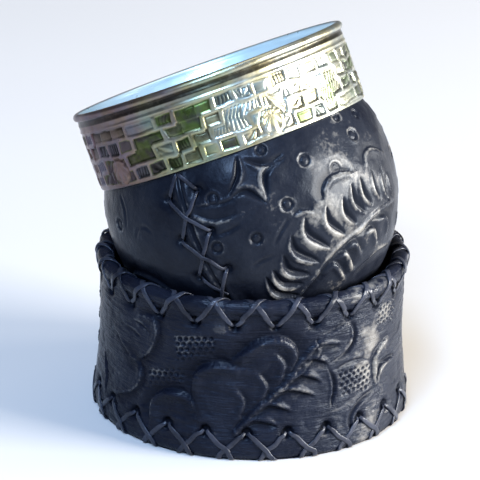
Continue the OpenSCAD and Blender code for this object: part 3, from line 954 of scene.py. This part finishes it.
# Painted shade: the cove under the bead is darkened.
cove_rows = rim_row < len(band_side) + len(cove)
cove_painted_shade = 0.75 * ease((rim.z - 35.3) / 0.5) * ease((37.35 - rim.z) / 0.2) * cove_rows
rim_obj = revolved_mesh(
    "rim_metal",
    leaned(rim.surface(rim_height)),
    {
        "wear_and_painted_light": np.clip(rim_height - cove_painted_shade, -1, 1),
        "tint": rim_tint,
        "inside": ease((rim_row - len(band_side) - 16.0) / 5),
    },
    loop=True,
)

# ---- Materials ----


def material(name):
    m = bpy.data.materials.new(name)
    m.use_nodes = True
    return m, Nodes(m.node_tree), m.node_tree.nodes["Principled BSDF"]


class Nodes:
    """Short names for the node kinds used here."""

    def __init__(self, tree):
        self.tree = tree
        self.coords = tree.nodes.new("ShaderNodeTexCoord").outputs["Object"]

    def link(self, a, b):
        self.tree.links.new(a, b)

    def fill(self, node, inputs):
        """Sets constants on a node's named inputs, and links other nodes' outputs to them."""
        for name, value in inputs.items():
            if isinstance(value, bpy.types.NodeSocket):
                self.link(value, node.inputs[name])
            else:
                node.inputs[name].default_value = value
        return node

    def new(self, kind, inputs):
        return self.fill(self.tree.nodes.new(kind), inputs)

    def stretched(self, scale):
        n = self.new("ShaderNodeMapping", {"Scale": scale, "Vector": self.coords})
        return n.outputs["Vector"]

    def noise(self, scale, detail=3.0, vector=None, roughness=0.55):
        inputs = {"Scale": scale, "Detail": detail, "Roughness": roughness}
        inputs["Vector"] = vector or self.coords
        return self.new("ShaderNodeTexNoise", inputs).outputs["Fac"]

    def cells(self, scale):
        n = self.new("ShaderNodeTexVoronoi", {"Scale": scale, "Vector": self.coords})
        n.feature = "DISTANCE_TO_EDGE"
        return n.outputs["Distance"]

    def mark(self, name):
        n = self.tree.nodes.new("ShaderNodeAttribute")
        n.attribute_name = name
        return n.outputs["Fac"]

    def span(self, value, low, high, to_low=0.0, to_high=1.0):
        inputs = {"Value": value, "From Min": low, "From Max": high}
        inputs |= {"To Min": to_low, "To Max": to_high}
        return self.new("ShaderNodeMapRange", inputs).outputs["Result"]

    def mottle(self, scale, detail, low, high):
        """Noise spread between two values."""
        return self.span(self.noise(scale, detail), 0.3, 0.7, low, high)

    def math(self, kind, a, b):
        n = self.tree.nodes.new("ShaderNodeMath")
        n.operation = kind
        for socket, v in zip(n.inputs, (a, b)):
            if isinstance(v, (int, float)):
                socket.default_value = v
            else:
                self.link(v, socket)
        return n.outputs["Value"]

    def ramp(self, value, stops):
        n = self.tree.nodes.new("ShaderNodeValToRGB")
        ramp = n.color_ramp
        while len(ramp.elements) < len(stops):
            ramp.elements.new(0.5)
        for element, (at, colour) in zip(ramp.elements, stops):
            element.position = at
            element.color = (*colour, 1)
        self.link(value, n.inputs["Fac"])
        return n.outputs["Color"]

    def mix(self, kind, a, b, share=1.0):
        n = self.tree.nodes.new("ShaderNodeMix")
        n.data_type = "RGBA"
        n.blend_type = kind
        if isinstance(share, float):
            n.inputs[0].default_value = share
        else:
            self.link(share, n.inputs[0])
        self.link(a, n.inputs[6])
        self.link(b, n.inputs[7])
        return n.outputs[2]

    def bump(self, height, distance, strength=1.0, normal=None):
        inputs = {"Strength": strength, "Distance": distance, "Height": height}
        if normal:
            inputs["Normal"] = normal
        return self.new("ShaderNodeBump", inputs).outputs["Normal"]


def leather(name, dark, light, wear_and_painted_light, rough, grain, creased=False, coat=0.16):
    """Tooled leather: darker and duller where pressed in, the darkening partly dye and partly
    painted shade; paler on worn edges, partly wear and partly painted highlight; greyer under a
    painted sheen.
    """
    m, n, shader = material(name)
    patch = n.noise(90, 4)
    fine = n.noise(900, 3)
    mixed = n.math("ADD", n.math("MULTIPLY", patch, 0.75), n.math("MULTIPLY", fine, 0.25))
    # Darker in the cuts: partly dye, partly painted shade.
    sunk = n.span(n.mark("deep"), 0.15, 0.9, 1.0, 0.25)
    mixed = n.math("MULTIPLY", mixed, sunk)
    # Paler on worn ridges and edges: partly wear, partly painted highlight.
    wear_and_highlight_tone = n.math("MULTIPLY", n.mark("wear_and_painted_light"), n.mottle(400, 2, 0.35, 0.8))
    tone = n.math("ADD", n.span(mixed, 0.35, 0.65, 0.0, 0.62), n.math("MULTIPLY", wear_and_highlight_tone, 0.75))
    # Painted sheen: greyer where the sheen mark lies.
    painted_sheen_tone = n.math("MULTIPLY", n.mark("painted_sheen"), n.mottle(200, 4, 0.26, 0.5))
    tone = n.math("ADD", tone, painted_sheen_tone)
    colour = n.ramp(tone, [(0.0, dark), (0.6, light), (1.0, wear_and_painted_light)])
    dull = n.span(n.mark("deep"), 0.2, 1.0, 0.0, 0.3)
    burnished = n.math("MULTIPLY", n.mark("wear_and_painted_light"), -0.14)
    skin_rough = n.math("ADD", n.mottle(160, 4, rough[0], rough[1]), dull)
    skin_rough = n.math("ADD", skin_rough, burnished)
    pores = n.span(n.cells(grain), 0.0, 0.12)
    normal = n.bump(pores, 0.00004, 0.35)
    normal = n.bump(n.noise(grain * 0.45, 3), 0.00008, 0.4, normal)
    normal = n.bump(n.noise(190, 3), 0.0009, 0.5, normal)
    if creased:
        lines = n.noise(120, 4, n.stretched((1, 1, 9)), 0.6)
        normal = n.bump(lines, 0.0008, 0.8, normal)
    n.fill(shader, {
        "Base Color": colour, "Roughness": skin_rough, "Normal": normal,
        "Specular IOR Level": 0.1, "Specular Tint": (0.66, 0.8, 1.0, 1),
        "Coat Weight": coat, "Coat Roughness": 0.16, "Coat IOR": 1.3,
    })
    return m


# The fourth colour of each leather is for worn edges and for the painted sheen and highlights.
gourd_skin = leather(
    "gourd_leather_black", (0.003, 0.004, 0.008), (0.009, 0.011, 0.017), (0.16, 0.157, 0.15),
    (0.28, 0.44), 1500,
)
stand_skin = leather(
    "stand_leather_black", (0.003, 0.004, 0.009), (0.008, 0.01, 0.018), (0.13, 0.128, 0.125),
    (0.22, 0.42), 1300, creased=True, coat=0.12,
)
lace_skin = leather(
    "lace_leather", (0.008, 0.009, 0.014), (0.034, 0.038, 0.054), (0.08, 0.085, 0.1),
    (0.2, 0.4), 2200, coat=0.4,
)
lining_skin = leather(
    "lining_leather", (0.05, 0.04, 0.032), (0.11, 0.09, 0.07), (0.2, 0.17, 0.14),
    (0.7, 0.85), 1800, coat=0.0,
)


def metal():
    """Plated steel with painted light: darker towards the side that the gourd leans to and paler on
    the other, painted reflections in the cells' tints, painted shade in the cove.
    """
    m, n, shader = material("rim_steel")
    height = n.mark("wear_and_painted_light")
    # Painted light: darker towards the left, the side that the gourd leans to, and paler towards
    # the right.
    split = n.new("ShaderNodeSeparateXYZ", {"Vector": n.coords})
    painted_side_light = n.span(split.outputs["X"], -0.05, 0.036)
    along = n.math("ADD", painted_side_light, n.mottle(60, 3, -0.12, 0.12))
    plate = n.ramp(
        along,
        [
            (0.0, (0.16, 0.105, 0.13)), (0.25, (0.21, 0.17, 0.175)), (0.42, (0.3, 0.34, 0.25)),
            (0.6, (0.42, 0.43, 0.39)), (0.8, (0.36, 0.38, 0.37)), (1.0, (0.28, 0.31, 0.31)),
        ],
    )
    # Painted reflections: cell tints in grey, green, cream and blue.
    spots = n.math("ADD", n.mark("tint"), n.mottle(170, 2, -0.14, 0.14))
    tints = n.ramp(
        spots,
        [
            (0.0, (0.26, 0.26, 0.28)), (0.16, (0.42, 0.42, 0.40)), (0.26, (0.46, 0.66, 0.22)),
            (0.4, (0.8, 0.86, 0.66)), (0.52, (1.0, 0.92, 0.66)), (0.66, (1.0, 1.0, 0.94)),
            (0.8, (0.78, 0.93, 1.0)), (1.0, (0.66, 0.8, 0.92)),
        ],
    )
    # Darker where the relief is low; in the cove under the bead this is painted shade.
    sunk = n.ramp(
        n.math("ADD", n.span(height, -0.5, 0.2), n.mottle(700, 4, -0.1, 0.1)),
        [(0.0, (0.14, 0.13, 0.12)), (0.45, (0.68, 0.67, 0.64)), (0.9, (1.0, 1.0, 1.0))],
    )
    tinted = n.mix("MULTIPLY", plate, tints, n.span(along, 0.7, 1.05, 1.0, 0.45))
    colour = n.mix("MULTIPLY", tinted, sunk)
    lining = n.ramp(n.noise(40, 2), [(0.3, (0.60, 0.80, 0.84)), (0.7, (0.74, 0.90, 0.93))])
    colour = n.mix("MIX", colour, lining, n.mark("inside"))
    scratches = n.noise(500, 3, n.stretched((1, 1, 6)))
    n.fill(shader, {
        "Base Color": colour,
        "Roughness": n.mottle(260, 4, 0.26, 0.42),
        "Metallic": n.span(n.mark("inside"), 0.0, 1.0, 0.92, 0.4),
        "Normal": n.bump(scratches, 0.00005, 0.35),
    })
    return m


steel = metal()


def calabash():
    m, n, shader = material("calabash_wood")
    fibre = n.noise(140, 5, n.stretched((1, 1, 0.25)), 0.6)
    tones = [(0.3, (0.16, 0.09, 0.035)), (0.55, (0.32, 0.2, 0.09)), (0.75, (0.45, 0.3, 0.15))]
    normal = n.bump(fibre, 0.0005, 0.6)
    n.fill(shader, {"Base Color": n.ramp(fibre, tones), "Roughness": 0.75, "Normal": normal})
    return m


def finish(obj, skin, slot_name, *nodes):
    obj.data.materials.clear()
    obj.data.materials.append(skin)
    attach(obj, "root")
    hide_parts(*nodes)


finish(gourd_leather, gourd_skin, "gourd_leather", "gourd_cover")
finish(stand_leather, stand_skin, "stand_leather", "stand_wall")
finish(top_lace, lace_skin, "lace", "stand_top_lace")
finish(foot_lace, lace_skin, "lace", "stand_foot_lace")
finish(seam_lace, lace_skin, "lace", "gourd_seam_lace")
finish(rim_obj, steel, "rim_metal", "rim_band")

for node, skin in (("gourd_shell", calabash()), ("stand_lining", lining_skin)):
    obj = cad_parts[node]
    for material_slot in obj.material_slots:
        material_slot.material = skin
    if not obj.material_slots:
        obj.data.materials.append(skin)

# ---- Floor, light and camera ----

FLOOR_HALF = 3.0
bpy.ops.mesh.primitive_plane_add(size=2 * FLOOR_HALF, location=(0, 0, 0))
floor = bpy.context.object
floor.name = "floor"
floor_skin, n, shader = material("floor_pale")
pale = n.ramp(n.noise(3, 2), [(0.3, (0.52, 0.51, 0.5)), (0.7, (0.54, 0.53, 0.52))])
n.fill(shader, {"Base Color": pale, "Roughness": 0.9, "Specular IOR Level": 0.1})
floor.data.materials.append(floor_skin)


def area_light(name, azimuth, elevation, distance, size, power, colour):
    """A soft rectangular light. Azimuth 0 is the camera's side and 90 the right of the picture."""
    a, e = radians(azimuth), radians(elevation)
    away = Vector((sin(a) * cos(e), -cos(a) * cos(e), sin(e)))
    data = bpy.data.lights.new(name, "AREA")
    data.shape = "RECTANGLE"
    data.size, data.size_y = size
    data.energy = power
    data.color = colour
    lamp = bpy.data.objects.new(name, data)
    lamp.location = CENTRE + away * distance
    lamp.rotation_euler = away.to_track_quat("Z", "Y").to_euler()
    bpy.context.collection.objects.link(lamp)


CENTRE = Vector((AXIS[0] * MM, AXIS[1] * MM, 0.055))
area_light("key_right", 72, 12, 1.5, (0.7, 0.9), 96, (1.0, 0.95, 0.87))
area_light("low_right", 98, 2, 1.3, (0.3, 0.35), 32, (1.0, 0.94, 0.85))
area_light("sky_front", -16, 42, 1.5, (0.5, 0.25), 22, (0.46, 0.66, 1.0))
area_light("sky_top", -35, 68, 1.6, (0.35, 0.3), 18, (0.5, 0.69, 1.0))
area_light("overhead", 170, 72, 1.8, (1.0, 1.0), 8, (1.0, 0.90, 0.78))

world = bpy.data.worlds.new("studio")
bpy.context.scene.world = world
world.use_nodes = True
world.node_tree.nodes["Background"].inputs["Color"].default_value = (1.0, 0.98, 0.96, 1)
world.node_tree.nodes["Background"].inputs["Strength"].default_value = 0.12

CAMERA_DISTANCE = 1.0
CAMERA_HEIGHT = radians(22.3)
AIM_HEIGHT = 0.030
AIM_UP, AIM_LEFT, ROLL = radians(1.076), radians(0.2145), radians(1.0)
aim = Vector((AXIS[0] * MM, AXIS[1] * MM, AIM_HEIGHT))
eye = aim + CAMERA_DISTANCE * Vector((0, -cos(CAMERA_HEIGHT), sin(CAMERA_HEIGHT)))
pitch = CAMERA_HEIGHT - AIM_UP
look = Vector((-sin(AIM_LEFT), cos(pitch), -sin(pitch))).normalized()
right = look.cross(Vector((0, 0, 1))).normalized()
up = right.cross(look)
right, up = (
    right * cos(ROLL) + up * sin(ROLL),
    up * cos(ROLL) - right * sin(ROLL),
)
camera_data = bpy.data.cameras.new("camera")
camera_data.lens = 252.4
camera_data.sensor_width = 36
camera = bpy.data.objects.new("camera", camera_data)
camera.matrix_world = Matrix(
    [(right[i], up[i], -look[i], eye[i]) for i in range(3)] + [(0, 0, 0, 1)]
)
bpy.context.collection.objects.link(camera)
bpy.context.scene.camera = camera
bpy.context.scene.view_settings.view_transform = "Standard"

bpy.context.view_layer.update()
